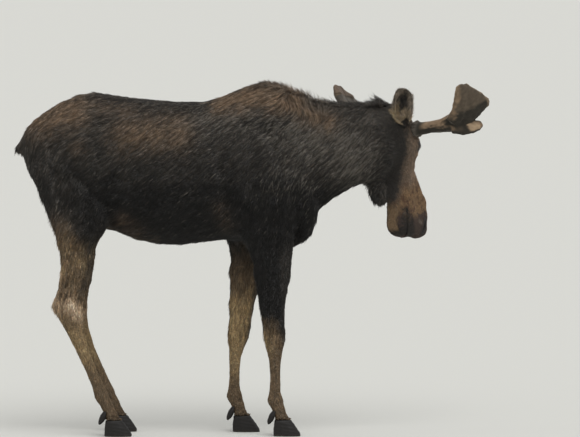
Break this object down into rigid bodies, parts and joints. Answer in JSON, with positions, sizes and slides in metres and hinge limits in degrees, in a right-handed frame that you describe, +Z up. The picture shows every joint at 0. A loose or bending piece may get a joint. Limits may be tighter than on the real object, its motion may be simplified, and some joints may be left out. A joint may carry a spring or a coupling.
{
  "type": "moose",
  "caption": "Standing young bull moose with small palmate antlers in velvet, head lowered and turned aside, as a life-size still model.",
  "frame": {"origin": "centre of the bounding box at the level of the hoof soles", "axes": "+X the way the trunk faces, +Y the animal's left, +Z up"},
  "size_m": [2.3634, 0.8922, 1.7686],
  "materials": {
    "coat_body": "dense short fur, near black brown",
    "coat_head": "short fur, mid brown face",
    "coat_legs": "short fur, grey brown",
    "velvet": "short velvet over growing antler",
    "hoof_horn": "dull dark horn",
    "eye": "wet dark brown"
  },
  "bodies": {
    "root": {"trunk": "coat_body", "neck": "coat_body", "head": "coat_head", "bell": "coat_body", "tail": "coat_body", "eye_left": "eye", "ear_left": "coat_head", "antler_left_beam": "velvet", "antler_left_palm": "velvet", "antler_left_tine": "velvet", "eye_right": "eye", "ear_right": "coat_head", "antler_right_beam": "velvet", "antler_right_palm": "velvet", "antler_right_tine": "velvet", "fore_left_shoulder": "coat_body", "fore_left_forearm": "coat_legs", "fore_left_cannon": "coat_legs", "fore_left_hoof_outer": "hoof_horn", "fore_left_dewclaw_outer": "hoof_horn", "fore_left_hoof_inner": "hoof_horn", "fore_left_dewclaw_inner": "hoof_horn", "fore_right_shoulder": "coat_body", "fore_right_forearm": "coat_legs", "fore_right_cannon": "coat_legs", "fore_right_hoof_outer": "hoof_horn", "fore_right_dewclaw_outer": "hoof_horn", "fore_right_hoof_inner": "hoof_horn", "fore_right_dewclaw_inner": "hoof_horn", "hind_left_thigh": "coat_body", "hind_left_gaskin": "coat_legs", "hind_left_cannon": "coat_legs", "hind_left_hoof_outer": "hoof_horn", "hind_left_dewclaw_outer": "hoof_horn", "hind_left_hoof_inner": "hoof_horn", "hind_left_dewclaw_inner": "hoof_horn", "hind_right_thigh": "coat_body", "hind_right_gaskin": "coat_legs", "hind_right_cannon": "coat_legs", "hind_right_hoof_outer": "hoof_horn", "hind_right_dewclaw_outer": "hoof_horn", "hind_right_hoof_inner": "hoof_horn", "hind_right_dewclaw_inner": "hoof_horn"}
  },
  "joints": []
}
